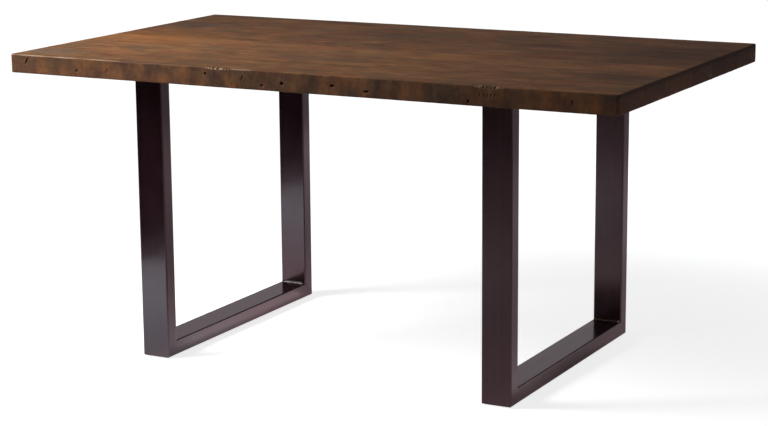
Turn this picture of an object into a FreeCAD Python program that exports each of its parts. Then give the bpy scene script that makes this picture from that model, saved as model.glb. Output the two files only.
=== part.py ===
"""Rustic dining table: edge-joined boards on two welded steel sled frames. Millimetres, +Z up.

The floor is Z = 0 and the middle of the footprint is X = 0, Y = 0. +X runs along the length towards the
right-hand end, and -Y is the front.
"""
import math
import os

import FreeCAD
import Part
from FreeCAD import Vector

# Top
TABLE_HEIGHT = 762.0
TOP_LENGTH = 1600.0
TOP_THICKNESS = 47.0
BOARD_WIDTHS = (155.0, 155.0, 152.0, 140.0, 150.0, 188.0)  # front to back
EDGE_RADIUS = 3.5  # easing along the top and bottom edges
CORNER_EXTRA = 3.0  # how much rounder the four upright corners are than the edges
SEAM_BEVEL = 0.8  # easing of each board along a seam, on the upper side

# Worn places on the front upper edge, each a shallow round scoop
LEFT_SCOOP_FROM_END = 600.0
LEFT_SCOOP_LENGTH = 110.0
LEFT_SCOOP_DEPTH = 4.5
RIGHT_SCOOP_FROM_END = 305.0
RIGHT_SCOOP_LENGTH = 100.0
RIGHT_SCOOP_DEPTH = 5.5

# Loose splines in the glued seams
SPLINE_WIDTH = 24.0
SPLINE_THICKNESS = 8.0
SPLINE_SETBACK = 60.0  # distance of a groove's end from the end of the top
SPLINE_RELIEF = 0.5  # room for glue past a spline's edges and ends

# Steel frames of rectangular tube
FRAME_SPACING = 937.0  # between the middles of the two frames
FRAME_DEPTH = 725.0  # over the front and rear legs
TUBE_WIDTH = 76.2  # along the table's length
TUBE_DEPTH = 38.1  # across it
TUBE_WALL = 2.5
TUBE_INNER_RADIUS = 1.0

# Mounting plates and their fasteners
PLATE_MARGIN = 12.0  # how far a plate stands out beside the legs
PLATE_THICKNESS = 6.0
PLATE_CORNER_RADIUS = 6.0
SCREW_EDGE_DISTANCE = 22.0  # from a plate's long edge to a row of screws
SCREW_DIAMETER = 8.0
SCREW_HEAD_HEIGHT = 5.5
SCREW_HEAD_LEDGE = 2.5  # how far the head's flats stand out past the shank
SCREW_COVER = 15.0  # wood left between a screw's tip and the upper face
PILOT_CLEARANCE = 0.05
PILOT_RELIEF = 1.0  # depth of a pilot hole past the screw's tip
SLOT_CLEARANCE = 1.0  # how much wider a slot is than its screw
SLOT_TRAVEL = 10.0  # sideways movement that a slot allows the boards
WASHER_LAP = 2.5  # how far a washer reaches past a slot's ends
WASHER_THICKNESS = 2.0
WASHER_CLEARANCE = 0.5  # how much wider a washer's hole is than its screw

# Weld beads
WELD_LEG = 5.0
WELD_BULGE = 0.08  # rise of a bead's middle over a flat fillet, as a share of its leg

# Glides
GLIDE_DIAMETER = 30.0
GLIDE_THICKNESS = 3.0
GLIDE_STEM_DIAMETER = 8.0
GLIDE_STEM_PAST_WALL = 8.0
GLIDE_STEM_CLEARANCE = 0.05
GLIDE_INSET = 45.0  # from the end of a floor rail to the middle of a glide

# Sizes that follow
TOP_WIDTH = sum(BOARD_WIDTHS)
TOP_UNDERSIDE = TABLE_HEIGHT - TOP_THICKNESS
PLATE_UNDERSIDE = TOP_UNDERSIDE - PLATE_THICKNESS
WASHER_UNDERSIDE = PLATE_UNDERSIDE - WASHER_THICKNESS
TUBE_RADIUS = TUBE_INNER_RADIUS + TUBE_WALL
RAIL_TOP = GLIDE_THICKNESS + TUBE_DEPTH
LEG_MIDDLE = FRAME_DEPTH / 2 - TUBE_DEPTH / 2
LEG_INNER_FACE = FRAME_DEPTH / 2 - TUBE_DEPTH
PLATE_WIDTH = TUBE_WIDTH + 2 * PLATE_MARGIN
SCREW_ROW = PLATE_WIDTH / 2 - SCREW_EDGE_DISTANCE
SCREW_TIP = TABLE_HEIGHT - SCREW_COVER
SLOT_WIDTH = SCREW_DIAMETER + SLOT_CLEARANCE
WASHER_DIAMETER = SLOT_WIDTH + SLOT_TRAVEL + 2 * WASHER_LAP

ALONG = Vector(1, 0, 0)
BACK = Vector(0, 1, 0)
UP = Vector(0, 0, 1)
CENTRE = Vector(0, 0, 0)


def block(low, high):
    """A box between two opposite corners."""
    size = high - low
    return Part.makeBox(size.x, size.y, size.z, low)


def edges_along(shape, direction):
    """The straight edges of a shape that run along a direction."""
    found = []
    for edge in shape.Edges:
        run = edge.lastVertex().Point - edge.firstVertex().Point
        if run.cross(direction).Length < 1e-6 * run.Length:
            found.append(edge)
    return found


def edges_at_heights(shape, heights):
    """The edges of a shape that lie level at one of the heights."""
    found = []
    for edge in shape.Edges:
        box = edge.BoundBox
        if any(abs(box.ZMin - z) < 1e-6 and abs(box.ZMax - z) < 1e-6 for z in heights):
            found.append(edge)
    return found


def mirrored_back(shape):
    """The same piece at the rear of the table."""
    return shape.mirror(CENTRE, BACK)


def seam_lines():
    """Y of each board edge, from the front of the top to its back."""
    lines = [-TOP_WIDTH / 2]
    for width in BOARD_WIDTHS:
        lines.append(lines[-1] + width)
    return lines


def screw_spots():
    """Places of one frame's screws on the underside of the top, with the frame at X = 0.

    Every board with room between the legs gets one screw in its middle, left and right of the leg in turn.
    """
    lines = seam_lines()
    reach = LEG_INNER_FACE - WELD_LEG - WASHER_DIAMETER / 2
    middles = [(front + back) / 2 for front, back in zip(lines, lines[1:])]
    held = [y for y in middles if abs(y) < reach]
    return [Vector(SCREW_ROW * (-1) ** turn, y, TOP_UNDERSIDE) for turn, y in enumerate(held)]


def frame_middles():
    """X of the left and the right frame."""
    return {"left": -FRAME_SPACING / 2, "right": FRAME_SPACING / 2}


# Top

def edge_scoop(middle, length, depth):
    """A round cutter that wears away the front upper edge over a length, deepest in the middle."""
    radius = (length ** 2 / 4 + depth ** 2) / (2 * depth)
    outward = (UP - BACK).normalize()
    inward = (UP + BACK).normalize()
    reach = 2 * depth
    centre = Vector(middle, -TOP_WIDTH / 2, TABLE_HEIGHT) + outward * (radius - depth)
    return Part.makeCylinder(radius, 2 * reach, centre - inward * reach, inward)


def seam_bevel(y):
    """The shallow V that the eased edges of two boards leave along their seam."""
    points = [Vector(-TOP_LENGTH / 2, y - SEAM_BEVEL, TABLE_HEIGHT),
              Vector(-TOP_LENGTH / 2, y + SEAM_BEVEL, TABLE_HEIGHT),
              Vector(-TOP_LENGTH / 2, y, TABLE_HEIGHT - SEAM_BEVEL)]
    face = Part.Face(Part.makePolygon(points + points[:1]))
    return face.extrude(ALONG * TOP_LENGTH)


def top_slab():
    """The whole top before it is parted into boards."""
    corner = Vector(TOP_LENGTH / 2, TOP_WIDTH / 2, 0)
    slab = block(UP * TOP_UNDERSIDE - corner, UP * TABLE_HEIGHT + corner)
    slab = slab.makeFillet(EDGE_RADIUS + CORNER_EXTRA, edges_along(slab, UP))
    slab = slab.makeFillet(EDGE_RADIUS, edges_at_heights(slab, (TOP_UNDERSIDE, TABLE_HEIGHT)))
    left = LEFT_SCOOP_FROM_END - TOP_LENGTH / 2
    right = TOP_LENGTH / 2 - RIGHT_SCOOP_FROM_END
    slab = slab.cut(edge_scoop(left, LEFT_SCOOP_LENGTH, LEFT_SCOOP_DEPTH))
    slab = slab.cut(edge_scoop(right, RIGHT_SCOOP_LENGTH, RIGHT_SCOOP_DEPTH))
    return slab.cut([seam_bevel(y) for y in seam_lines()[1:-1]])


def spline(y, relief=0.0):
    """The loose tongue in the seam at y, or with a relief the groove for it."""
    half = Vector(TOP_LENGTH / 2 - SPLINE_SETBACK - SPLINE_RELIEF + relief,
                  SPLINE_WIDTH / 2 + relief,
                  SPLINE_THICKNESS / 2)
    middle = Vector(0, y, TABLE_HEIGHT - TOP_THICKNESS / 2)
    return block(middle - half, middle + half)


def pilot_holes():
    """The blind holes for every screw."""
    radius = SCREW_DIAMETER / 2 + PILOT_CLEARANCE
    depth = SCREW_TIP + PILOT_RELIEF - TOP_UNDERSIDE
    return [Part.makeCylinder(radius, depth, spot + ALONG * x)
            for x in frame_middles().values() for spot in screw_spots()]


def top_boards():
    """The boards from front to back, each with its grooves and holes."""
    lines = seam_lines()
    grooves = [spline(y, SPLINE_RELIEF) for y in lines[1:-1]]
    slab = top_slab().cut(grooves + pilot_holes())
    boards = []
    for front, back in zip(lines, lines[1:]):
        room = block(Vector(-TOP_LENGTH, front, 0), Vector(TOP_LENGTH, back, 2 * TABLE_HEIGHT))
        boards.append(slab.common(room))
    return boards


# Frame, built with its middle at X = 0

def rounded_bar(width, depth, radius, length):
    """A bar standing on the origin with a rounded rectangular section."""
    half = Vector(width / 2, depth / 2, 0)
    bar = block(CENTRE - half, half + UP * length)
    return bar.makeFillet(radius, edges_along(bar, UP))


def tube(length):
    """A length of the frame's rectangular tube, standing on the origin."""
    hollow = rounded_bar(TUBE_WIDTH - 2 * TUBE_WALL, TUBE_DEPTH - 2 * TUBE_WALL, TUBE_INNER_RADIUS, length)
    return rounded_bar(TUBE_WIDTH, TUBE_DEPTH, TUBE_RADIUS, length).cut(hollow)


def mitre_wedge(above):
    """All that lies on one side of the front corner's mitre: above it or below it."""
    size = 2 * TUBE_DEPTH
    corner = Vector(-TUBE_WIDTH, -FRAME_DEPTH / 2, GLIDE_THICKNESS)
    slope = BACK + UP
    side = UP - BACK if above else BACK - UP
    low = corner - slope * size
    high = corner + slope * size
    face = Part.Face(Part.makePolygon([low, high, corner + side * size, low]))
    return face.extrude(ALONG * 2 * TUBE_WIDTH)


def front_leg():
    """The upright tube at the front, mitred at the floor and cut square under the plate."""
    leg = tube(PLATE_UNDERSIDE - GLIDE_THICKNESS)
    leg.translate(Vector(0, -LEG_MIDDLE, GLIDE_THICKNESS))
    return leg.cut(mitre_wedge(above=False))


def floor_rail():
    """The tube along the floor, mitred at both ends and drilled for the glides."""
    rail = tube(FRAME_DEPTH)
    rail.rotate(CENTRE, ALONG, -90)
    rail.translate(Vector(0, -FRAME_DEPTH / 2, GLIDE_THICKNESS + TUBE_DEPTH / 2))
    waste = mitre_wedge(above=True)
    hole_radius = GLIDE_STEM_DIAMETER / 2 + GLIDE_STEM_CLEARANCE
    hole = Part.makeCylinder(hole_radius, TUBE_DEPTH / 2, glide_spot())
    return rail.cut([waste, mirrored_back(waste), hole, mirrored_back(hole)])


def glide_spot():
    """The floor under the middle of the front glide."""
    return Vector(0, GLIDE_INSET - FRAME_DEPTH / 2, 0)


def front_glide():
    """A nylon glide: a flat foot with a stem pressed through the rail's lower wall."""
    foot = Part.makeCylinder(GLIDE_DIAMETER / 2, GLIDE_THICKNESS, glide_spot())
    stem_length = GLIDE_THICKNESS + TUBE_WALL + GLIDE_STEM_PAST_WALL
    stem = Part.makeCylinder(GLIDE_STEM_DIAMETER / 2, stem_length, glide_spot())
    return foot.fuse(stem).removeSplitter()


def mounting_plate():
    """The flat plate over both legs, with slots across the grain for the screws."""
    half = Vector(PLATE_WIDTH / 2, FRAME_DEPTH / 2, 0)
    plate = block(UP * PLATE_UNDERSIDE - half, UP * TOP_UNDERSIDE + half)
    plate = plate.makeFillet(PLATE_CORNER_RADIUS, edges_along(plate, UP))
    return plate.cut([screw_slot(spot) for spot in screw_spots()])


def screw_slot(spot):
    """The cutter for one slot of a mounting plate."""
    bottom = spot - UP * 2 * PLATE_THICKNESS
    depth = 3 * PLATE_THICKNESS
    half = Vector(SLOT_WIDTH / 2, SLOT_TRAVEL / 2, 0)
    slot = block(bottom - half, bottom + half + UP * depth)
    shift = BACK * SLOT_TRAVEL / 2
    ends = [Part.makeCylinder(SLOT_WIDTH / 2, depth, middle) for middle in (bottom - shift, bottom + shift)]
    return slot.fuse(ends)


def weld_bead(corner, first, second, run):
    """A fillet bead that fills a corner between two faces and runs along a vector."""
    start = corner - run / 2
    one = start + first * WELD_LEG
    other = start + second * WELD_LEG
    crown = start + (first + second) * WELD_LEG * (0.5 + WELD_BULGE)
    outline = Part.Wire([Part.makeLine(start, one),
                         Part.Arc(one, crown, other).toShape(),
                         Part.makeLine(other, start)])
    return Part.Face(outline).extrude(run)


def corner_welds():
    """The beads inside the floor corners."""
    corner = Vector(0, -LEG_INNER_FACE, RAIL_TOP)
    bead = weld_bead(corner, BACK, UP, ALONG * (TUBE_WIDTH - 2 * TUBE_RADIUS))
    return [bead, mirrored_back(bead)]


def plate_welds():
    """The beads that hold the legs under the plate, on three sides of each leg."""
    wide = ALONG * (TUBE_WIDTH - 2 * TUBE_RADIUS)
    narrow = BACK * (TUBE_DEPTH - 2 * TUBE_RADIUS)
    inside = Vector(0, -LEG_INNER_FACE, PLATE_UNDERSIDE)
    beads = [weld_bead(inside, BACK, UP * -1, wide)]
    for side in (-1, 1):
        beside = Vector(side * TUBE_WIDTH / 2, -LEG_MIDDLE, PLATE_UNDERSIDE)
        beads.append(weld_bead(beside, ALONG * side, UP * -1, narrow))
    return beads + [mirrored_back(bead) for bead in beads]


# Fasteners

def screw(spot):
    """A hexagon wood screw up through washer and slot into its board."""
    seat = Vector(spot.x, spot.y, WASHER_UNDERSIDE)
    corner = (SCREW_DIAMETER / 2 + SCREW_HEAD_LEDGE) / math.cos(math.radians(30))
    turns = [math.radians(60 * side) for side in range(7)]
    hexagon = Part.makePolygon([seat + Vector(math.cos(turn), math.sin(turn), 0) * corner for turn in turns])
    head = Part.Face(hexagon).extrude(UP * -SCREW_HEAD_HEIGHT)
    shank = Part.makeCylinder(SCREW_DIAMETER / 2, SCREW_TIP - WASHER_UNDERSIDE, seat)
    return head.fuse(shank).removeSplitter()


def washer(spot):
    """A wide flat washer under a screw's head, covering the slot."""
    seat = Vector(spot.x, spot.y, WASHER_UNDERSIDE)
    disc = Part.makeCylinder(WASHER_DIAMETER / 2, WASHER_THICKNESS, seat)
    return disc.cut(Part.makeCylinder((SCREW_DIAMETER + WASHER_CLEARANCE) / 2, WASHER_THICKNESS, seat))


# Assembly

def frame_nodes():
    """Every node of one frame, with the frame at X = 0."""
    leg = front_leg()
    glide = front_glide()
    return {
        "front_leg": [leg],
        "rear_leg": [mirrored_back(leg)],
        "floor_rail": [floor_rail()],
        "mounting_plate": [mounting_plate()],
        "corner_welds": corner_welds(),
        "plate_welds": plate_welds(),
        "glides": [glide, mirrored_back(glide)],
        "screws": [screw(spot) for spot in screw_spots()],
        "washers": [washer(spot) for spot in screw_spots()],
    }


def board_names():
    """Names of the boards, front to back."""
    inner = [f"top_board_{number}" for number in range(2, len(BOARD_WIDTHS))]
    return ["top_board_front"] + inner + ["top_board_back"]


def table_nodes():
    """Every node of the table: its name and its solids."""
    nodes = {name: [board] for name, board in zip(board_names(), top_boards())}
    for number, y in enumerate(seam_lines()[1:-1], start=1):
        nodes[f"top_spline_{number}"] = [spline(y)]
    for name, solids in frame_nodes().items():
        for side, x in frame_middles().items():
            nodes[f"{side}_{name}"] = [solid.translated(ALONG * x) for solid in solids]
    return nodes


os.makedirs("parts", exist_ok=True)
for name, solids in table_nodes().items():
    shape = solids[0] if len(solids) == 1 else Part.makeCompound(solids)
    shape.exportStep(f"parts/{name}.step")
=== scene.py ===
"""Looks of a rustic dining table: worn, stained maple boards on two dark bronze steel frames. Metres."""

import math
from collections import namedtuple

import bpy
import numpy as np
from mathutils import Matrix, Vector, noise


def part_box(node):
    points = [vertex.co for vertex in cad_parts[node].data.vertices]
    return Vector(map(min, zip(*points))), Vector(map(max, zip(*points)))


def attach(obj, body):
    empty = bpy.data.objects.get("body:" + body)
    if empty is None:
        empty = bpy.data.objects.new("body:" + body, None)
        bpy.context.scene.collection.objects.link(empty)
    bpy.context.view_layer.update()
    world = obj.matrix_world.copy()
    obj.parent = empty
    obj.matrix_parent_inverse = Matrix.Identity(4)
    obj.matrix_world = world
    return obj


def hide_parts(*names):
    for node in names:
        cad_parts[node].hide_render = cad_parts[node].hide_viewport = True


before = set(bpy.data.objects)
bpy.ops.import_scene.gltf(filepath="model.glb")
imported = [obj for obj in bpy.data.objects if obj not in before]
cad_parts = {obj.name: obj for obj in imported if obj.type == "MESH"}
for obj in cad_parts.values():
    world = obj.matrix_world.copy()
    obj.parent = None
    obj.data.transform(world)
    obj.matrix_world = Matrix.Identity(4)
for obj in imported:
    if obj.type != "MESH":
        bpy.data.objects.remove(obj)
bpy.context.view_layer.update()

MM = 0.001

# The top as the CAD has it
front_low, front_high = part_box("top_board_front")
TOP = front_high.z
TOP_FRONT = front_low.y
TOP_LEFT = front_low.x
TOP_RIGHT = front_high.x
EDGE_RADIUS = 3.5 * MM
CORNER_RADIUS = 6.5 * MM
SEAM_RADIUS = 0.8 * MM

# The frames as the CAD has them
WELD_LEG = 5 * MM
TUBE_RADIUS = 3.5 * MM

# Worn places on the front upper edge, as the CAD cuts them, and how pale the wood is in and beside them
Scoop = namedtuple("Scoop", "middle length depth pale_inside pale_beside")
SCOOPS = (
    Scoop(-0.200, 0.110, 0.0045, 0.66, 1.0),
    Scoop(0.495, 0.100, 0.0055, 0.55, 0.5),
)

# Torn fibres in the worn places: size along X, Y and Z, and depth
TORN_FIBRE = (0.0042, 0.02, 0.02)
TORN_DEPTH = 2.2 * MM

# How much the upper edges are rubbed along X, how far from the edge, and how large the rubbed spots are
# The pale edges are partly worn wood and partly a painted highlight, most at the left, nearest the key light
WEAR_AND_HIGHLIGHT_X = (-0.62, -0.45, 0.0, 0.4)
WEAR_AND_HIGHLIGHT_AMOUNT = (1.0, 0.55, 0.5, 0.1)
WEAR_AND_HIGHLIGHT_WIDTH = 4 * MM
WEAR_AND_HIGHLIGHT_SPOT = (0.05, 0.05, 0.05)

# Plane marks on level faces and upright edges: size along X, Y and Z, and depth; all are cut below the face
LEVEL_MARK = (0.30, 0.06, 0.06)
LEVEL_DEPTH = 0.25 * MM
EDGE_MARK = (0.035, 0.05, 0.06)
EDGE_DEPTH = 0.7 * MM
SMALL_MARK = (0.011, 0.02, 0.03)
SMALL_DEPTH = 0.25 * MM
PLANED_OFF = 0.35 * MM

# Waves in the rounding of the outer edges: length along X, and share of the radius
SLOW_WAVE = 0.09
SLOW_SHARE = 0.35
QUICK_WAVE = 0.022
QUICK_SHARE = 0.25

# Old nail and worm holes in the upright edges; lean is sideways for each unit up
Hole = namedtuple("Hole", "x height half_width half_height lean depth")
FRONT_HOLES = (
    Hole(-0.751, 0.747, 0.0018, 0.0080, 0.6, 0.0050),
    Hole(-0.601, 0.731, 0.0028, 0.0026, 0.0, 0.0035),
    Hole(-0.511, 0.737, 0.0026, 0.0024, 0.0, 0.0018),
    Hole(-0.233, 0.746, 0.0032, 0.0026, 0.3, 0.0050),
    Hole(-0.133, 0.742, 0.0016, 0.0064, 0.4, 0.0030),
    Hole(-0.079, 0.727, 0.0044, 0.0026, 0.0, 0.0028),
    Hole(-0.026, 0.735, 0.0045, 0.0034, 0.0, 0.0055),
    Hole(0.107, 0.738, 0.0055, 0.0034, 0.0, 0.0050),
    Hole(0.194, 0.730, 0.0070, 0.0023, 0.0, 0.0050),
    Hole(0.447, 0.725, 0.0026, 0.0040, 0.3, 0.0045),
    Hole(0.694, 0.738, 0.0017, 0.0060, 0.0, 0.0020),
)
# Depth at which a hole is fully dark with dirt and painted shade
BLACK_DEPTH = 6 * MM

# A row of small chisel nicks under the right worn place
FIRST_NICK = Hole(0.476, 0.742, 0.0017, 0.0040, 0.2, 0.0010)
NICK_PITCH = 9 * MM
NICK_COUNT = 6

# Holes in the back edge, drawn between these values; X is counted from even places along it
BACK_HOLES = 9
BACK_HOLE_RANGES = Hole(
    x=(-0.06, 0.06),
    height=(0.724, 0.75),
    half_width=(0.002, 0.007),
    half_height=(0.003, 0.006),
    lean=(-0.4, 0.4),
    depth=(0.003, 0.01),
)
HOLE_SEED = 5

# Places on the top where the stain took differently, and two large places of painted light and painted shade
TintedPlace = namedtuple("TintedPlace", "x y half_length half_width strength colour")
STAINS_AND_PAINTED_LIGHT = (
    TintedPlace(-0.700, 0.240, 0.16, 0.08, 0.60, "#4b433d"),
    TintedPlace(-0.110, 0.235, 0.17, 0.07, 0.60, "#453a2c"),
    TintedPlace(0.340, 0.212, 0.12, 0.04, 0.65, "#4a2a22"),
    TintedPlace(-0.400, 0.010, 0.07, 0.022, 0.65, "#3f2c22"),
    TintedPlace(-0.080, -0.230, 0.17, 0.06, 0.50, "#4a3c32"),
    TintedPlace(0.710, -0.225, 0.20, 0.07, 0.68, "#33281f"),
    TintedPlace(-0.735, -0.390, 0.12, 0.08, 0.60, "#5c534b"),
    # Painted light, partly a real orange tone: a large pale orange place over the left end, where the key
    # light falls
    TintedPlace(-0.650, -0.040, 0.32, 0.19, 0.32, "#b06c30"),
    TintedPlace(0.210, -0.100, 0.12, 0.07, 0.35, "#9c6530"),
    TintedPlace(0.440, 0.060, 0.15, 0.13, 0.50, "#703d2c"),
    # Painted shade and dark stain: a large dark place over the right end, where less light falls
    TintedPlace(0.680, 0.180, 0.24, 0.24, 0.62, "#33241b"),
    TintedPlace(-0.660, -0.470, 0.18, 0.06, 0.55, "#4a3524"),
)
STAIN_DEPTH = 0.05

# The ends darken towards the top: how far below it they start to, and where they are fully dark
RIM_START = 16 * MM
RIM_FULL = 3 * MM

# Knots in the top, and how far the grain shifts and rises round them
Knot = namedtuple("Knot", "x y half_length half_width")
KNOTS = (
    Knot(-0.325, -0.220, 0.10, 0.030),
    Knot(-0.690, 0.205, 0.09, 0.030),
    Knot(0.255, 0.370, 0.11, 0.034),
)
KNOT_RISE = (0.0, 0.004, 0.022)

# Each board's tree: its heart's place under the board's middle, and how light and how red its stain is
BoardTree = namedtuple("BoardTree", "heart_y heart_depth tone redness")
BOARD_TREES = {
    "top_board_front": BoardTree(0.010, 0.085, 0.97, 0.42),
    "top_board_2": BoardTree(-0.030, 0.110, 1.02, 0.35),
    "top_board_3": BoardTree(0.025, 0.070, 1.03, 0.45),
    "top_board_4": BoardTree(-0.015, 0.130, 0.80, 0.60),
    "top_board_5": BoardTree(0.035, 0.090, 0.73, 0.55),
    "top_board_back": BoardTree(-0.025, 0.100, 0.73, 0.45),
}
RING_SPACING = 4.2 * MM
RING_WANDER = 30 * MM

# Lean of the grain in radians: its dip, less a step for each board, and its turn
GRAIN_DIP = 0.016
GRAIN_DIP_STEP = 0.006
GRAIN_TURN = 0.01

# Patterns in the wood: millimetres along and across the grain, and detail. Real pores are about a tenth as
# wide, and drawn so fine they would not show
Mark = namedtuple("Mark", "length width detail")
WOOD_MARKS = {
    "fibres": Mark(120, 7, 9.0),
    "pores": Mark(10, 1.0, 2.0),
    "blotches": Mark(140, 70, 4.0),
    "mottles": Mark(36, 17, 5.0),
    "reds": Mark(110, 65, 4.0),
    "olives": Mark(100, 70, 4.0),
    "bands": Mark(36, 80, 6.0),
}
WANDER = Mark(600, 100, 2.0)
BEECH_FLECKS = Mark(4, 0.8, 2.0)

# How light the brown stain is without these patterns, and how strongly they darken and lighten it
STAIN_LEVEL = 0.006
STAIN_SHARES = {"fibres": 0.50, "blotches": 0.85, "mottles": 0.34}

# Steps in the noise, so that no two boards, no two patterns and no two seeds are alike
BOARD_STEP = Vector((3.7, 1.9, 1.1))
MARK_STEP = Vector((3.1, 3.1, 3.1))
SEED_STEP = (17.3, 9.1, 5.7)

# Lines in the lacquer: millimetres along X, Y and Z
UPRIGHT_LINE = (4, 4, 4000)
LEVEL_LINE = (4, 4000, 4)

# A weld bead's ripples, and its crown, ripple and unevenness as parts of its leg
RIPPLE_PITCH = 3.2 * MM
STEPS_IN_RIPPLE = 6
BEAD_POINTS = 9
CROWN = 0.16
RIPPLE = 0.05
RIPPLE_LAG = 0.45
UNEVEN = 0.06
UNEVEN_SIZE = 6 * MM
BLUNT_END = 0.2 * MM

# Points along a board's outline: on each corner, and between corners on an outer edge, a seam, top and bottom
ARC_POINTS = 7
EDGE_POINTS = 26
SEAM_POINTS = 3
TOP_POINTS = 22
BOTTOM_POINTS = 10

# Steps between a board's sections: with an outer edge, without one, at a hole and at a worn place
EDGE_BOARD_STEP = 4 * MM
INNER_BOARD_STEP = 8 * MM
HOLE_STEP = 1.0 * MM
SCOOP_STEP = 1.2 * MM
SMALLEST_STEP = 0.3 * MM

# Edges sharper than this many degrees stay crisp
CRISP_ANGLE = 50

# Painted shade and painted light on the floor, which only reflections show: middle, half sizes, how far in
# from the rim the change is full, and the factor there
FloorPatch = namedtuple("FloorPatch", "x y half_x half_y full factor")
SHADED_PATCHES = (
    FloorPatch(0.34, 0.04, 0.24, 0.36, 0.5, 0.15),
    FloorPatch(0.25, -0.85, 0.60, 0.90, 0.6, 0.6),
)
LIT_PATCH = FloorPatch(-0.40, 0.0, 0.15, 0.90, 1.0, 3.1)
# Middle of the painted cool light at the front left of the floor, which only reflections show
COOL_MIDDLE = (-0.75, -0.85, 0.0)
FLOOR_REACH = 60.0

# Strength of the surroundings as a light, and how much more of them reflections show
WORLD_LIGHT = 0.08
MIRRORED_EXTRA = 0.23

# The camera at the photograph's angle: millimetres, metres and degrees
SENSOR_WIDTH = 36.0
LENS = 96.76
CAMERA_PLACE = (2.3683, -4.5148, 1.4241)
CAMERA_TURN = 27.783
CAMERA_DIP = 11.958
CAMERA_ROLL = -0.442


# Shader tools

def linear(code):
    """An sRGB hex colour as linear RGBA."""
    parts = [int(code[start:start + 2], 16) / 255 for start in (1, 3, 5)]
    return [part / 12.92 if part <= 0.04045 else ((part + 0.055) / 1.055) ** 2.4 for part in parts] + [1.0]


def add(tree, kind, inputs=(), stops=(), **settings):
    """A new shader node with its settings, its inputs as values or links, and its ramp's colour stops.

    A node given as an input stands for its first output.
    """
    node = tree.nodes.new("ShaderNode" + kind)
    for name, value in settings.items():
        setattr(node, name, value)
    for key, value in dict(inputs).items():
        if isinstance(value, bpy.types.Node):
            value = value.outputs[0]
        if isinstance(value, bpy.types.NodeSocket):
            tree.links.new(value, node.inputs[key])
        else:
            node.inputs[key].default_value = value
    for order, (position, code) in enumerate(stops):
        elements = node.color_ramp.elements
        element = elements[order] if order < len(elements) else elements.new(position)
        element.position = position
        element.color = linear(code)
    return node


def new_material(name):
    """An empty material: its node tree and its surface socket."""
    material = bpy.data.materials.new(name)
    material.use_nodes = True
    tree = material.node_tree
    tree.nodes.clear()
    surface = add(tree, "OutputMaterial").inputs["Surface"]
    return material, tree, surface


def cells(mark):
    """Scale of a pattern whose marks run along X."""
    return (1000 / mark.length, 1000 / mark.width, 1000 / mark.width)


def spot(tree, place, middle, size):
    """A soft oval spot: 1 in its middle, 0 from its half sizes outwards."""
    inside = add(tree, "Mapping", {"Vector": place, "Location": middle, "Scale": size}, vector_type="TEXTURE")
    return add(tree, "TexGradient", {"Vector": inside}, gradient_type="SPHERICAL").outputs["Fac"]


# Stained maple

Faces = namedtuple("Faces", "upright endways end_rims lines")
Layer = namedtuple("Layer", "driver start full strength colour")


def wood_marks(tree, place, number):
    """The wood's patterns, each from its own place in the noise."""
    marks = {}
    for order, (title, mark) in enumerate(WOOD_MARKS.items()):
        shift = 4 * number * BOARD_STEP + order * MARK_STEP
        drawn = add(tree, "Mapping", {"Vector": place, "Location": shift, "Scale": cells(mark)})
        marks[title] = add(tree, "TexNoise", {"Vector": drawn, "Scale": 1.0, "Detail": mark.detail,
                                              "Roughness": 0.65})
    return marks


def wood_faces(tree, where):
    """Masks of upright edges, sawn ends and the ends' upper rims, and how clearly lines of grain show."""
    facing = add(tree, "SeparateXYZ", {0: where.outputs["Normal"]})
    level = add(tree, "Math", {0: facing.outputs["Z"]}, operation="ABSOLUTE")
    endways = add(tree, "Math", {0: facing.outputs["X"]}, operation="ABSOLUTE")
    sideways = add(tree, "Math", {0: facing.outputs["Y"]}, operation="ABSOLUTE")
    upright = add(tree, "MapRange", {"Value": sideways, "From Min": 0.66, "From Max": 0.94})
    lines = add(tree, "MapRange", {"Value": level, "From Min": 0.35, "From Max": 0.75, "To Min": 0.25})
    height = add(tree, "SeparateXYZ", {0: where.outputs["Object"]}).outputs["Z"]
    near_top = add(tree, "MapRange", {"Value": height, "From Min": TOP - RIM_START,
                                      "From Max": TOP - RIM_FULL})
    end_rims = add(tree, "Math", {0: near_top, 1: endways}, operation="MULTIPLY")
    return Faces(upright, endways, end_rims, lines)


def growth_rings(tree, place, name, number):
    """Rings round a heart under the board, with a slow wander and a rise round each knot, and the knots."""
    low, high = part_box(name)
    heart = BOARD_TREES[name]
    shift = number * BOARD_STEP
    wander = add(tree, "Mapping", {"Vector": place, "Location": shift, "Scale": cells(WANDER)})
    wander = add(tree, "TexNoise", {"Vector": wander, "Scale": 1.0, "Detail": WANDER.detail}).outputs["Color"]
    wander = add(tree, "VectorMath", {0: wander, 1: (0.5, 0.5, 0.5)}, operation="SUBTRACT")
    wander = add(tree, "VectorMath", {0: wander, 1: (0.0, RING_WANDER, RING_WANDER)}, operation="MULTIPLY")
    from_heart = (0.0, -(low.y + high.y) / 2 - heart.heart_y, heart.heart_depth - low.z)
    lean = (0.0, GRAIN_DIP - GRAIN_DIP_STEP * number, GRAIN_TURN)
    grain = add(tree, "Mapping", {"Vector": place, "Location": from_heart, "Rotation": lean})
    grain = add(tree, "VectorMath", {0: grain, 1: wander}, operation="ADD")
    knots = []
    for knot in KNOTS:
        if low.y < knot.y < high.y:
            size = (knot.half_length, knot.half_width, STAIN_DEPTH)
            inside = spot(tree, place, (knot.x, knot.y, TOP), size)
            rise = add(tree, "VectorMath", {0: KNOT_RISE, "Scale": inside}, operation="SCALE")
            grain = add(tree, "VectorMath", {0: grain, 1: rise}, operation="ADD")
            knots.append(inside)
    rings = add(tree, "TexWave", {"Vector": grain, "Scale": math.pi / 10 / RING_SPACING, "Distortion": 2.0,
                                  "Detail": 3.0, "Detail Scale": 0.5, "Detail Roughness": 0.6},
                wave_type="RINGS", rings_direction="X", wave_profile="SAW")
    return rings.outputs["Fac"], knots


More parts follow.
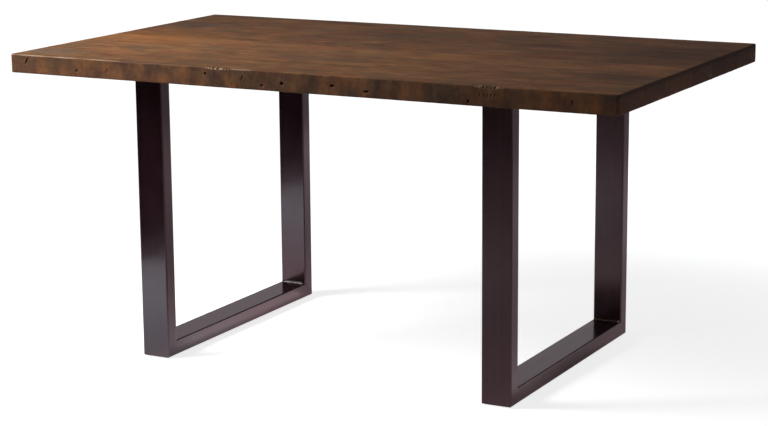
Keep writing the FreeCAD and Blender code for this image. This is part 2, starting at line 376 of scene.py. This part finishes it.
def brown_stain(tree, marks, lines):
    """The stain's brown from dark to light, by fibres, blotches and mottles."""
    fibres = add(tree, "Math", {0: marks["fibres"], 1: -0.5}, operation="ADD")
    fibres = add(tree, "Math", {0: fibres, 1: lines}, operation="MULTIPLY")
    drivers = {**marks, "fibres": fibres}
    shade = STAIN_LEVEL
    for title, share in STAIN_SHARES.items():
        shade = add(tree, "Math", {0: drivers[title], 1: share, 2: shade}, operation="MULTIPLY_ADD")
    browns = ((0.34, "#4c3120"), (0.60, "#835736"), (0.88, "#a8764b"))
    return add(tree, "ValToRGB", {"Fac": shade}, stops=browns)


def grain_layers(tree, marks, faces, rings, redness):
    """Red and olive stain, the ends with their dark rims, late wood, painted shade on the upright edges, and
    dark and pale bands there.
    """
    ring_lines = add(tree, "Math", {0: faces.lines, 1: faces.endways}, operation="MAXIMUM")
    late_wood = add(tree, "MapRange", {"Value": rings, "From Min": 0.55, "From Max": 0.98})
    late_wood = add(tree, "Math", {0: late_wood, 1: ring_lines}, operation="MULTIPLY")
    dark_bands = add(tree, "MapRange", {"Value": marks["bands"], "From Min": 0.52, "From Max": 0.34})
    dark_bands = add(tree, "Math", {0: dark_bands, 1: faces.upright}, operation="MULTIPLY")
    pale_bands = add(tree, "MapRange", {"Value": marks["bands"], "From Min": 0.52, "From Max": 0.70})
    pale_bands = add(tree, "Math", {0: pale_bands, 1: faces.upright}, operation="MULTIPLY")
    return [Layer(marks["reds"], 0.46, 0.66, redness, "#80492e"),
            Layer(marks["olives"], 0.48, 0.66, 0.70, "#624f38"),
            Layer(faces.endways, 0.60, 0.95, 0.74, "#4d352c"),
            Layer(faces.end_rims, 0.10, 0.80, 0.75, "#2b1d16"),
            Layer(late_wood, 0.0, 1.0, 0.24, "#3f2718"),
            # Painted shade: the upright edges are darkened as if less light reached them than the top
            Layer(faces.upright, 0.0, 1.0, 0.42, "#3e2826"),
            Layer(dark_bands, 0.0, 1.0, 0.58, "#322722"),
            Layer(pale_bands, 0.0, 1.0, 0.46, "#a56633")]


def place_layers(tree, place, name, marks):
    """The places on one board where the stain took differently, and the painted light and shade, broken up by
    the mottles.
    """
    low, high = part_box(name)
    layers = []
    for stain in STAINS_AND_PAINTED_LIGHT:
        if low.y < stain.y + stain.half_width and stain.y - stain.half_width < high.y:
            size = (stain.half_length, stain.half_width, STAIN_DEPTH)
            inside = spot(tree, place, (stain.x, stain.y, TOP), size)
            broken = add(tree, "Math", {0: inside, 1: marks["mottles"]}, operation="MULTIPLY")
            layers.append(Layer(broken, 0.05, 0.40, stain.strength, stain.colour))
    return layers


def use_layers(tree, marks):
    """Open pores, edges rubbed down to bare wood and painted with a highlight, dirt in seams, and dirt with
    painted shade in holes and gaps.
    """
    wear_and_highlight = add(tree, "Attribute", attribute_name="wear_and_highlight").outputs["Fac"]
    wear_and_highlight = add(tree, "Math", {0: wear_and_highlight, 1: marks["fibres"]}, operation="MULTIPLY")
    grime_and_shade = add(tree, "Attribute", attribute_name="grime_and_shade").outputs["Fac"]
    return [Layer(marks["pores"], 0.60, 0.74, 0.55, "#38251a"),
            # Pale upper edges: worn wood and a painted highlight
            Layer(wear_and_highlight, 0.16, 0.42, 0.85, "#ba9c7e"),
            # Dirt in the seams, and dirt with painted shade in holes and gaps
            Layer(grime_and_shade, 0.0, 1.0, 0.95, "#2c1c13")]


def stained_maple(name, number):
    """Maple, hand planed, stained brown and waxed: fine even grain, blotches where it drank more stain."""
    material, tree, surface = new_material(f"stained_maple_{number}")
    where = add(tree, "TexCoord")
    place = where.outputs["Object"]
    marks = wood_marks(tree, place, number)
    faces = wood_faces(tree, where)
    rings, knots = growth_rings(tree, place, name, number)

    # Each layer lies over the ones before it
    layers = grain_layers(tree, marks, faces, rings, BOARD_TREES[name].redness)
    layers += place_layers(tree, place, name, marks)
    layers += [Layer(knot, 0.55, 0.95, 0.75, "#2e2017") for knot in knots]
    layers += use_layers(tree, marks)
    colour = brown_stain(tree, marks, faces.lines)
    for layer in layers:
        amount = add(tree, "MapRange", {"Value": layer.driver, "From Min": layer.start,
                                        "From Max": layer.full, "To Max": layer.strength})
        over = linear(layer.colour)
        colour = add(tree, "Mix", {0: amount, 6: colour, 7: over}, data_type="RGBA").outputs[2]
    toned = add(tree, "HueSaturation", {"Value": BOARD_TREES[name].tone, "Hue": 0.503, "Color": colour})

    # Wax lies smooth on the wood between the pores
    rough = add(tree, "MapRange", {"Value": marks["fibres"], "From Min": 0.3, "From Max": 0.75,
                                   "To Min": 0.72, "To Max": 0.56})
    height = add(tree, "Math", {0: marks["pores"], 1: -0.6, 2: marks["fibres"]}, operation="MULTIPLY_ADD")
    height = add(tree, "Math", {0: rings, 1: 0.2, 2: height}, operation="MULTIPLY_ADD")
    bump = add(tree, "Bump", {"Height": height, "Strength": 0.5, "Distance": 0.5 * MM})
    shader = add(tree, "BsdfPrincipled", {"Base Color": toned, "Roughness": rough, "IOR": 1.45,
                                          "Specular IOR Level": 0.2, "Normal": bump})
    tree.links.new(shader.outputs[0], surface)
    return material


# Other materials

def beech():
    """Planed beech, unfinished: pale pinkish brown with short dark flecks, a little larger than real."""
    material, tree, surface = new_material("beech")
    place = add(tree, "TexCoord").outputs["Object"]
    flecks = add(tree, "Mapping", {"Vector": place, "Scale": cells(BEECH_FLECKS)})
    flecks = add(tree, "TexNoise", {"Vector": flecks, "Scale": 1.0, "Detail": BEECH_FLECKS.detail})
    colour = add(tree, "ValToRGB", {"Fac": flecks}, stops=((0.35, "#a5794f"), (0.55, "#cfa77d")))
    bump = add(tree, "Bump", {"Height": flecks, "Strength": 0.3, "Distance": 0.1 * MM})
    shader = add(tree, "BsdfPrincipled", {"Base Color": colour, "Roughness": 0.65, "IOR": 1.5,
                                          "Normal": bump})
    tree.links.new(shader.outputs[0], surface)
    return material


def bronze_lacquer(name, line):
    """Steel tube in dark bronze lacquer: near black and reddish, glossy, with faint lines along the tube.

    The lines are coarser than a real tube's drawing marks, which would not show.
    """
    material, tree, surface = new_material(name)
    place = add(tree, "TexCoord").outputs["Object"]
    lines = add(tree, "Mapping", {"Vector": place, "Scale": [1000 / size for size in line]})
    lines = add(tree, "TexNoise", {"Vector": lines, "Scale": 1.0, "Detail": 3.0, "Roughness": 0.6})
    clouds = add(tree, "TexNoise", {"Vector": place, "Scale": 1000 / 70, "Detail": 3.0, "Roughness": 0.6})
    mixed = add(tree, "Math", {0: lines, 1: clouds}, operation="ADD")
    mixed = add(tree, "Math", {0: mixed, 1: 0.5}, operation="MULTIPLY")
    colour = add(tree, "ValToRGB", {"Fac": mixed}, stops=((0.36, "#1e0e12"), (0.64, "#241217")))
    rough = add(tree, "MapRange", {"Value": mixed, "From Min": 0.35, "From Max": 0.65,
                                   "To Min": 0.13, "To Max": 0.22})
    gloss = add(tree, "MapRange", {"Value": lines, "From Min": 0.3, "From Max": 0.7,
                                   "To Min": 0.3, "To Max": 0.6})
    peel = add(tree, "TexNoise", {"Vector": place, "Scale": 1000 / 9, "Detail": 1.0})
    height = add(tree, "Math", {0: lines, 1: 0.4, 2: peel}, operation="MULTIPLY_ADD")
    bump = add(tree, "Bump", {"Height": height, "Strength": 0.12, "Distance": 0.2 * MM})
    shader = add(tree, "BsdfPrincipled", {"Base Color": colour, "Roughness": rough, "IOR": 1.5,
                                          "Specular IOR Level": 1.0, "Specular Tint": linear("#ffdfe6"),
                                          "Coat Weight": gloss, "Coat Roughness": 0.08, "Coat IOR": 1.5,
                                          "Normal": bump})
    tree.links.new(shader.outputs[0], surface)
    return material


def weld_metal():
    """Steel weld, wire brushed and lacquered: rippled and brighter than the tube, with heat tints."""
    material, tree, surface = new_material("weld_metal")
    place = add(tree, "TexCoord").outputs["Object"]
    heat = add(tree, "TexNoise", {"Vector": place, "Scale": 1000 / 12, "Detail": 3.0})
    tints = ((0.35, "#5f565a"), (0.50, "#928a8a"), (0.65, "#7c7780"))
    colour = add(tree, "ValToRGB", {"Fac": heat}, stops=tints)
    bump = add(tree, "Bump", {"Height": heat, "Strength": 0.3, "Distance": 0.2 * MM})
    shader = add(tree, "BsdfPrincipled", {"Base Color": colour, "Metallic": 1.0, "Roughness": 0.25,
                                          "Normal": bump})
    tree.links.new(shader.outputs[0], surface)
    return material


def zinc_plated_steel():
    """Zinc-plated steel fasteners: pale grey, softly shining, with a cloudy bloom."""
    material, tree, surface = new_material("zinc_plated_steel")
    place = add(tree, "TexCoord").outputs["Object"]
    bloom = add(tree, "TexNoise", {"Vector": place, "Scale": 1000 / 6, "Detail": 4.0})
    colour = add(tree, "ValToRGB", {"Fac": bloom}, stops=((0.30, "#8f9196"), (0.70, "#c9cbcc")))
    rough = add(tree, "MapRange", {"Value": bloom, "To Min": 0.25, "To Max": 0.5})
    bump = add(tree, "Bump", {"Height": bloom, "Strength": 0.15, "Distance": 0.1 * MM})
    shader = add(tree, "BsdfPrincipled", {"Base Color": colour, "Metallic": 1.0, "Roughness": rough,
                                          "Normal": bump})
    tree.links.new(shader.outputs[0], surface)
    return material


def moulded_nylon():
    """Black moulded nylon, dull, with a spark texture that is drawn coarser than real, so that it shows."""
    material, tree, surface = new_material("moulded_nylon")
    place = add(tree, "TexCoord").outputs["Object"]
    grit = add(tree, "TexNoise", {"Vector": place, "Scale": 1000 / 0.6, "Detail": 2.0})
    colour = add(tree, "ValToRGB", {"Fac": grit}, stops=((0.30, "#17171a"), (0.70, "#2c2c30")))
    bump = add(tree, "Bump", {"Height": grit, "Strength": 0.3, "Distance": 0.1 * MM})
    shader = add(tree, "BsdfPrincipled", {"Base Color": colour, "Roughness": 0.55, "IOR": 1.53,
                                          "Normal": bump})
    tree.links.new(shader.outputs[0], surface)
    return material


# Shape tools

def mesh_piece(name, points, faces):
    """A new object from points and faces, shaded smooth with crisp corners."""
    mesh = bpy.data.meshes.new(name)
    mesh.from_pydata(points, [], faces)
    mesh.shade_smooth()
    mesh.set_sharp_from_angle(angle=math.radians(CRISP_ANGLE))
    piece = bpy.data.objects.new(name, mesh)
    bpy.context.collection.objects.link(piece)
    return piece


def swept_faces(count, ring):
    """Faces of a closed body swept through count sections of ring points each."""
    rows = np.arange(count - 1)[:, None] * ring
    here = np.arange(ring)[None]
    after = (here + 1) % ring
    quads = np.stack([rows + here, rows + after, rows + ring + after, rows + ring + here], axis=-1)
    start = list(range(ring))[::-1]
    end = [(count - 1) * ring + index for index in range(ring)]
    return quads.reshape(-1, 4).tolist() + [start, end]


def lumps(points, size, seed):
    """Smooth noise from about -1 to 1 at each point, with lumps of the given size along X, Y and Z."""
    shift = Vector([seed * step for step in SEED_STEP])
    return np.array([noise.noise(Vector(point) + shift) for point in points / np.array(size)])


# Boards

# Corners of a board's section in the order of its outline: whether at the back, whether at the top, and the
# angle in degrees where the corner's arc starts
Corner = namedtuple("Corner", "back top start")
SECTION_CORNERS = (Corner(0, 0, 270), Corner(0, 1, 180), Corner(1, 1, 90), Corner(1, 0, 0))


def edge_holes(name):
    """The holes in a board's upright outer edge."""
    if name == "top_board_front":
        nicks = [FIRST_NICK._replace(x=FIRST_NICK.x + NICK_PITCH * step) for step in range(NICK_COUNT)]
        return [*FRONT_HOLES, *nicks]
    if name != "top_board_back":
        return []
    draw = np.random.default_rng(HOLE_SEED)
    holes = []
    for even_place in np.linspace(TOP_LEFT, TOP_RIGHT, BACK_HOLES + 2)[1:-1]:
        hole = Hole(*[draw.uniform(*span) for span in BACK_HOLE_RANGES])
        holes.append(hole._replace(x=even_place + hole.x))
    return holes


def stations(step, holes, scoops):
    """X of the sections along a board: closer together at the ends, the holes and the worn places."""
    turn = np.linspace(0, math.pi / 2, ARC_POINTS)
    rounded = CORNER_RADIUS * (1 - np.cos(turn))
    spans = [np.arange(TOP_LEFT, TOP_RIGHT, step), TOP_LEFT + rounded, TOP_RIGHT - rounded]
    for hole in holes:
        half = hole.half_width * 1.6 + 4 * MM
        spans.append(np.arange(hole.x - half, hole.x + half, HOLE_STEP))
    for scoop in scoops:
        half = scoop.length * 0.6
        spans.append(np.arange(scoop.middle - half, scoop.middle + half, SCOOP_STEP))
    every = np.unique(np.round(np.concatenate(spans), 5))
    return every[np.concatenate([[True], np.diff(every) > SMALLEST_STEP])]


def inset(distance, radius):
    """How far a rounded edge falls back at a distance from the end face."""
    short = np.clip(radius - distance, 0, radius)
    return radius - np.sqrt(radius ** 2 - short ** 2)


def edge_radii(outer, number, along):
    """The rounding of each corner at each section: wavy on outer edges, small and even in the seams."""
    line = np.column_stack([along, np.zeros(len(along)), np.zeros(len(along))])
    radii = []
    for order, corner in enumerate(SECTION_CORNERS):
        if outer[corner.back]:
            slow = SLOW_SHARE * lumps(line, (SLOW_WAVE, 1, 1), order + number)
            quick = QUICK_SHARE * lumps(line, (QUICK_WAVE, 1, 1), order)
            radii.append(EDGE_RADIUS * (1 + slow + quick))
        else:
            radii.append(np.full(len(along), SEAM_RADIUS))
    return radii


def outline(sides, heights, radii, face_points):
    """Outline points of all sections, their outward directions, and whether each is on a rounded corner."""
    arcs = []
    outward = []
    for corner, radius in zip(SECTION_CORNERS, radii):
        middle_y = sides[corner.back] + radius * (1 - 2 * corner.back)
        middle_z = heights[corner.top] + radius * (1 - 2 * corner.top)
        turns = np.radians(np.linspace(corner.start, corner.start - 90, ARC_POINTS))
        directions = [(math.cos(turn), math.sin(turn)) for turn in turns]
        arcs.append([(middle_y + radius * across, middle_z + radius * up) for across, up in directions])
        outward.append(directions)
    points = []
    normals = []
    rounded = []
    for order, arc in enumerate(arcs):
        points += arc
        normals += outward[order]
        rounded += [True] * ARC_POINTS
        following = arcs[(order + 1) % len(arcs)][0]
        for part in np.linspace(0, 1, face_points[order] + 2)[1:-1]:
            points.append([arc[-1][axis] * (1 - part) + following[axis] * part for axis in (0, 1)])
            normals.append(outward[order][-1])
            rounded.append(False)
    return np.array(points), np.array(normals), np.array(rounded)


def board_points(name, outer, number, along):
    """All points of a board, their outward directions, and whether each is on a rounded corner."""
    low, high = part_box(name)
    from_end = np.minimum(along - TOP_LEFT, TOP_RIGHT - along)
    side_inset = inset(from_end, CORNER_RADIUS)
    level_inset = inset(from_end, EDGE_RADIUS)
    sides = (low.y + side_inset * outer[0], high.y - side_inset * outer[1])
    heights = (low.z + level_inset, high.z - level_inset)
    front_points, back_points = [EDGE_POINTS if is_outer else SEAM_POINTS for is_outer in outer]
    face_points = (front_points, TOP_POINTS, back_points, BOTTOM_POINTS)
    flat, outward, rounded = outline(sides, heights, edge_radii(outer, number, along), face_points)
    count = len(along)
    across = flat[:, 0, :].T.ravel()
    upward = flat[:, 1, :].T.ravel()
    points = np.column_stack([np.repeat(along, len(flat)), across, upward])
    normals = np.column_stack([np.zeros(len(points)), np.tile(outward, (count, 1))])
    return points, normals, np.tile(rounded, count)


def outside_seams(points, low, high, outer):
    """1 on a board's free faces, 0 where it meets its neighbours."""
    free = np.ones(len(points))
    if not outer[0]:
        free[points[:, 1] < low.y + 1.5 * SEAM_RADIUS] = 0
    if not outer[1]:
        free[points[:, 1] > high.y - 1.5 * SEAM_RADIUS] = 0
    return free


def plane_faces(points, normals, free):
    """Plane marks: long and shallow on level faces, short and deeper on upright edges, none in the seams."""
    upright = np.abs(normals[:, 1])
    level = lumps(points, LEVEL_MARK, 1) * LEVEL_DEPTH
    edge = lumps(points, EDGE_MARK, 2) * EDGE_DEPTH + lumps(points, SMALL_MARK, 3) * SMALL_DEPTH
    depth = (1 - upright) * level + upright * edge - PLANED_OFF
    points += normals * (depth * free)[:, None]


def near_upper_edge(points, side):
    """How near each point lies to the upper edge on one side: 1 on it, fading within a few millimetres."""
    across = np.exp(-((points[:, 1] - side) / WEAR_AND_HIGHLIGHT_WIDTH) ** 2)
    return across * np.exp(-((points[:, 2] - TOP) / WEAR_AND_HIGHLIGHT_WIDTH) ** 2)


def rubbed(points, near):
    """How far an upper edge is rubbed to bare wood and painted with a highlight, unevenly and most to the
    left.
    """
    uneven = 0.75 + 0.5 * lumps(points, WEAR_AND_HIGHLIGHT_SPOT, 4)
    return near * uneven * np.interp(points[:, 0], WEAR_AND_HIGHLIGHT_X, WEAR_AND_HIGHLIGHT_AMOUNT)


def sink_edge(points, scoop):
    """Sinks the front upper edge like a round cutter, and says how far each point lies in the worn place."""
    radius = (scoop.length ** 2 / 4 + scoop.depth ** 2) / (2 * scoop.depth)
    from_middle = points[:, 0] - scoop.middle
    out = ((TOP_FRONT - points[:, 1]) + (points[:, 2] - TOP)) / math.sqrt(2)
    floor = radius - scoop.depth - np.sqrt(np.clip(radius ** 2 - from_middle ** 2, 0, None))
    sunk = np.clip(out - floor, 0, None) * (np.abs(from_middle) < scoop.length / 2)
    points[:, 1] += sunk / math.sqrt(2)
    points[:, 2] -= sunk / math.sqrt(2)
    return np.clip(sunk / (0.25 * scoop.depth), 0, 1)


def wear_out(scoop, points, normals, near, wear_and_highlight, grime_and_shade):
    """One worn place: torn fibres with pale ridges and dark gaps of dirt and painted shade, and a pale edge
    beside it.
    """
    worn = sink_edge(points, scoop)
    torn = lumps(points, TORN_FIBRE, 6) * worn
    points += normals * (np.minimum(torn, 0.3) * TORN_DEPTH)[:, None]
    gaps = np.clip(-3.2 * torn - 0.3 * scoop.pale_inside, 0, 0.95)
    ridges = worn * np.clip(0.6 + 1.8 * torn, 0, 1) * scoop.pale_inside
    away = (points[:, 0] - scoop.middle - 0.3 * scoop.length) / (0.65 * scoop.length)
    beside = near * np.exp(-away ** 4) * (1 - worn) * scoop.pale_beside
    return np.maximum(np.maximum(wear_and_highlight, ridges), beside), np.maximum(grime_and_shade, gaps)


def bore(hole, points, normals, inward, grime_and_shade):
    """Sinks one hole into an upright edge, and darkens it with dirt and painted shade, the more the deeper it
    is.
    """
    rise = points[:, 2] - hole.height
    aside = points[:, 0] - hole.x - hole.lean * rise
    offset = (aside / hole.half_width) ** 2 + (rise / hole.half_height) ** 2
    inside = np.clip(1.3 - offset, 0, 1) * (normals[:, 1] * inward < -0.5)
    points[:, 1] += inside * hole.depth * inward
    return np.maximum(grime_and_shade, np.clip(inside * 1.6, 0, 1) * min(1.0, hole.depth / BLACK_DEPTH))


def board(name, number):
    """One worn board: hand-planed faces, wavy rubbed edges, holes, and worn places as the CAD cuts them."""
    low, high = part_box(name)
    outer = (name == "top_board_front", name == "top_board_back")
    holes = edge_holes(name)
    scoops = SCOOPS if outer[0] else ()
    along = stations(EDGE_BOARD_STEP if any(outer) else INNER_BOARD_STEP, holes, scoops)
    points, normals, rounded = board_points(name, outer, number, along)
    free = outside_seams(points, low, high, outer)
    plane_faces(points, normals, free)

    # Dirt in the seams, rubbed outer edges with a painted highlight, worn places, and holes with dirt and
    # painted shade
    grime_and_shade = 0.35 * rounded * (free == 0) * (normals[:, 2] > 0)
    wear_and_highlight = np.zeros(len(points))
    if any(outer):
        near = near_upper_edge(points, low.y if outer[0] else high.y)
        wear_and_highlight = rubbed(points, near)
    for scoop in scoops:
        wear_and_highlight, grime_and_shade = wear_out(scoop, points, normals, near, wear_and_highlight, grime_and_shade)
    wear_and_highlight *= rounded
    for hole in holes:
        grime_and_shade = bore(hole, points, normals, 1 if outer[0] else -1, grime_and_shade)

    piece = mesh_piece(f"worn_{name}", points.tolist(), swept_faces(len(along), len(points) // len(along)))
    for title, values in (("wear_and_highlight", wear_and_highlight), ("grime_and_shade", grime_and_shade)):
        layer = piece.data.attributes.new(title, "FLOAT", "POINT")
        layer.data.foreach_set("value", values.astype(np.float32))
    piece.data.materials.append(stained_maple(name, number))
    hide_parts(name)
    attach(piece, "root")


# Welds

def bead(corner, first, second, run):
    """Points and faces of one fillet bead: a rippled crown that fills a corner and runs along a vector."""
    length = run.length
    steps = np.linspace(0, length, int(length / (RIPPLE_PITCH / STEPS_IN_RIPPLE)) + 1)
    points = []
    for step in steps:
        from_end = min(step, length - step) + BLUNT_END
        taper = math.sqrt(min(1.0, from_end / WELD_LEG))
        base = corner - run / 2 + run.normalized() * step
        uneven = 1 + UNEVEN * noise.noise(base / UNEVEN_SIZE)
        points.append(base)
        for part in np.linspace(0, 1, BEAD_POINTS):
            lag = RIPPLE_LAG * 4 * (part - 0.5) ** 2
            ripple = math.cos(2 * math.pi * (step / RIPPLE_PITCH + lag))
            crown = math.sin(math.pi * part) * (CROWN + RIPPLE * ripple) + 1
            reach = WELD_LEG * taper * crown * uneven
            points.append(base + (first * (1 - part) + second * part) * reach)
    faces = swept_faces(len(steps), BEAD_POINTS + 1)
    if first.cross(second).dot(run) < 0:
        faces = [face[::-1] for face in faces]
    return points, faces


def weld_beads(name, places, finish):
    """All the beads of one CAD node as one piece."""
    points = []
    faces = []
    for corner, first, second, run in places:
        more, quads = bead(corner, first, second, run)
        faces += [[index + len(points) for index in face] for face in quads]
        points += more
    piece = mesh_piece(f"rippled_{name}", points, faces)
    piece.data.materials.append(finish)
    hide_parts(name)
    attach(piece, "root")


def frame_welds(side, finish):
    """The beads of one frame: inside the floor corners and round the heads of the legs."""
    along = Vector((1, 0, 0))
    up = Vector((0, 0, 1))
    rail_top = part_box(f"{side}_floor_rail")[1].z
    corners = []
    heads = []
    for leg, inward in (("front", Vector((0, 1, 0))), ("rear", Vector((0, -1, 0)))):
        low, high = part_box(f"{side}_{leg}_leg")
        middle = (low + high) / 2
        inner = high.y if leg == "front" else low.y
        wide = along * (high.x - low.x - 2 * TUBE_RADIUS)
        narrow = inward * (high.y - low.y - 2 * TUBE_RADIUS)
        corners.append((Vector((middle.x, inner, rail_top)), inward, up, wide))
        heads.append((Vector((middle.x, inner, high.z)), inward, -up, wide))
        heads.append((Vector((low.x, middle.y, high.z)), -along, -up, narrow))
        heads.append((Vector((high.x, middle.y, high.z)), along, -up, narrow))
    weld_beads(f"{side}_corner_welds", corners, finish)
    weld_beads(f"{side}_plate_welds", heads, finish)


# Pieces that keep the CAD shapes

def finish_cad_nodes():
    """Finishes of tubes, plates, glides, fasteners and splines; the lacquer's lines run along each tube."""
    upright_lacquer = bronze_lacquer("bronze_lacquer_upright", UPRIGHT_LINE)
    level_lacquer = bronze_lacquer("bronze_lacquer_level", LEVEL_LINE)
    zinc = zinc_plated_steel()
    finishes = {
        "front_leg": upright_lacquer,
        "rear_leg": upright_lacquer,
        "floor_rail": level_lacquer,
        "mounting_plate": level_lacquer,
        "glides": moulded_nylon(),
        "screws": zinc,
        "washers": zinc,
        "spline": beech(),
    }
    for name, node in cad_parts.items():
        for part, finish in finishes.items():
            if part in name:
                node.data.materials.clear()
                node.data.materials.append(finish)


# Stage, light and camera

def stage_card(name, corners):
    """One flat card of the stage."""
    piece = mesh_piece(name, corners, [(0, 1, 2, 3)])
    return piece


def patch_factor(tree, place, patch):
    """1 outside a patch of floor, going over to the patch's factor inside it."""
    inside = spot(tree, place, (patch.x, patch.y, 0.0), (patch.half_x, patch.half_y, 1.0))
    return add(tree, "MapRange", {"Value": inside, "From Max": patch.full,
                                  "To Min": 1.0, "To Max": patch.factor})


def seen_floor(tree, far, rays):
    """The floor's glow as the camera sees it: white, a little dimmer near the table, so that shadows stay."""
    glow = add(tree, "MapRange", {"Value": far, "From Min": 0.8, "From Max": 2.6, "To Min": 0.78},
               interpolation_type="SMOOTHSTEP")
    seen = add(tree, "Math", {0: rays.outputs["Is Camera Ray"], 1: rays.outputs["Is Transmission Ray"]},
               operation="MAXIMUM")
    strength = add(tree, "Math", {0: glow, 1: seen}, operation="MULTIPLY")
    return add(tree, "Emission", {"Color": linear("#ffffff"), "Strength": strength})


def mirrored_floor(tree, place, far, rays):
    """The floor's dim glow and paint in reflections, both with a painted cool light in front and painted
    shade in places.
    """
    glossy = rays.outputs["Is Glossy Ray"]
    from_cool = add(tree, "VectorMath", {0: place, 1: COOL_MIDDLE}, operation="DISTANCE").outputs["Value"]
    warmth = add(tree, "MapRange", {"Value": from_cool, "From Min": 0.3, "From Max": 1.1})
    cool = linear("#d8eaf2")
    warm = linear("#ffe6ec")
    tint = add(tree, "Mix", {0: warmth, 6: cool, 7: warm}, data_type="RGBA").outputs[2]
    shades = [patch_factor(tree, place, patch) for patch in SHADED_PATCHES]
    shade = add(tree, "Math", {0: shades[0], 1: shades[1]}, operation="MULTIPLY")

    # A painted pool of light, which only reflections show: brighter round the table, dimmer further out
    glow = add(tree, "MapRange", {"Value": far, "From Min": 1.6, "From Max": 3.3,
                                  "To Min": 0.19, "To Max": 0.06})
    for factor in (shade, patch_factor(tree, place, LIT_PATCH), glossy):
        glow = add(tree, "Math", {0: glow, 1: factor}, operation="MULTIPLY")
    glow = add(tree, "Emission", {"Color": tint, "Strength": glow})

    shaded = add(tree, "Mix", {0: shade, 6: linear("#2a2628"), 7: tint}, data_type="RGBA").outputs[2]
    painted = add(tree, "Mix", {0: glossy, 6: linear("#dfe2e6"), 7: shaded}, data_type="RGBA").outputs[2]
    return glow, add(tree, "BsdfDiffuse", {"Color": painted})


def pale_floor():
    """White painted floor: a soft shadow near the table, plain white further out, clear from below."""
    reach = FLOOR_REACH
    corners = [(-reach, -reach, 0), (reach, -reach, 0), (reach, reach, 0), (-reach, reach, 0)]
    floor = stage_card("floor", corners)
    material, tree, surface = new_material("white_painted_floor")
    place = add(tree, "TexCoord").outputs["Object"]
    far = add(tree, "VectorMath", {0: place}, operation="LENGTH").outputs["Value"]
    rays = add(tree, "LightPath")
    glow, paint = mirrored_floor(tree, place, far, rays)
    above = add(tree, "AddShader", {0: seen_floor(tree, far, rays), 1: glow})
    above = add(tree, "AddShader", {0: above, 1: paint})
    below = add(tree, "NewGeometry").outputs["Backfacing"]
    both = add(tree, "MixShader", {0: below, 1: above, 2: add(tree, "BsdfTransparent")})
    tree.links.new(both.outputs[0], surface)
    floor.data.materials.append(material)


def cloth_flag(name, start, end, low, high, foot, colour):
    """An upright studio cloth that shows only in reflections; its foot has its own colour."""
    flag = stage_card(name, [(*start, low), (*end, low), (*end, high), (*start, high)])
    material, tree, surface = new_material(f"cloth_{name}")
    rise = add(tree, "SeparateXYZ", {0: add(tree, "TexCoord").outputs["Object"]}).outputs["Z"]
    rise = add(tree, "MapRange", {"Value": rise, "From Min": 0.0, "From Max": 0.5})
    dyed = add(tree, "Mix", {0: rise, 6: linear(foot), 7: linear(colour)}, data_type="RGBA").outputs[2]
    cloth = add(tree, "BsdfDiffuse", {"Color": dyed})
    tree.links.new(cloth.outputs[0], surface)
    flag.data.materials.append(material)
    flag.visible_camera = False
    flag.visible_diffuse = False
    flag.visible_shadow = False
    flag.visible_transmission = False


def soft_light(name, place, aim, size, power, spread):
    """A square softbox at a place, aimed at a point; its light keeps within a spread in degrees."""
    lamp = bpy.data.lights.new(name, "AREA")
    lamp.size = size
    lamp.energy = power
    lamp.spread = math.radians(spread)
    piece = bpy.data.objects.new(name, lamp)
    piece.location = place
    piece.rotation_euler = (Vector(aim) - Vector(place)).to_track_quat("-Z", "Y").to_euler()
    piece.visible_camera = False
    bpy.context.collection.objects.link(piece)


def studio_world():
    """Even white surroundings: a dim light, brighter and faintly rosy in reflections, white where seen."""
    world = bpy.data.worlds.new("studio")
    world.use_nodes = True
    tree = world.node_tree
    tree.nodes.clear()
    rays = add(tree, "LightPath")
    glossy = rays.outputs["Is Glossy Ray"]
    seen = add(tree, "Math", {0: rays.outputs["Is Camera Ray"], 1: rays.outputs["Is Transmission Ray"]},
               operation="MAXIMUM")
    strength = add(tree, "Math", {0: glossy, 1: MIRRORED_EXTRA, 2: WORLD_LIGHT}, operation="MULTIPLY_ADD")
    strength = add(tree, "Math", {0: strength, 1: seen}, operation="MAXIMUM")
    white = linear("#ffffff")
    rosy = linear("#fff3f9")
    tint = add(tree, "Mix", {0: glossy, 6: white, 7: rosy}, data_type="RGBA").outputs[2]
    light = add(tree, "Background", {"Color": tint, "Strength": strength})
    add(tree, "OutputWorld", {"Surface": light})
    bpy.context.scene.world = world


def photo_camera():
    """The camera at the photograph's angle."""
    lens = bpy.data.cameras.new("camera")
    lens.sensor_width = SENSOR_WIDTH
    lens.lens = LENS
    camera = bpy.data.objects.new("camera", lens)
    turn = Matrix.Rotation(math.radians(CAMERA_TURN), 3, "Z")
    tilt = Matrix.Rotation(math.radians(90 - CAMERA_DIP), 3, "X")
    roll = Matrix.Rotation(math.radians(CAMERA_ROLL), 3, "Z")
    camera.matrix_world = Matrix.Translation(CAMERA_PLACE) @ (turn @ tilt @ roll).to_4x4()
    bpy.context.collection.objects.link(camera)
    bpy.context.scene.camera = camera


# The table
for number, name in enumerate(BOARD_TREES, start=1):
    board(name, number)
weld_finish = weld_metal()
for side in ("left", "right"):
    frame_welds(side, weld_finish)
finish_cad_nodes()

# The studio
pale_floor()
cloth_flag("flag_left", (-3.21, 0.99), (-0.71, -1.64), low=0.0, high=2.5, foot="#2a1e22", colour="#443338")
cloth_flag("flag_front", (-0.8, -1.73), (2.4, -5.1), low=0.2, high=2.5, foot="#b69a9e", colour="#b69a9e")
cloth_flag("flag_back", (-0.3, 4.0), (1.9, 4.0), low=1.45, high=2.6, foot="#101010", colour="#101010")
soft_light("key", (-1.75, -1.12, 1.85), aim=(-0.5, -0.1, 0.7), size=1.1, power=15.8, spread=82)
soft_light("fill", (3.2, 0.3, 0.9), aim=(0.6, 0.0, 0.6), size=1.6, power=6, spread=180)
soft_light("floor_light", (-1.1, -1.2, 1.4), aim=(-1.1, -1.2, 0.0), size=0.9, power=4.8, spread=70)
soft_light("back", (0.35, 3.0, 0.42), aim=(0.0, 0.4, 0.5), size=0.6, power=7, spread=180)
studio_world()
photo_camera()
bpy.context.scene.view_settings.view_transform = "Standard"
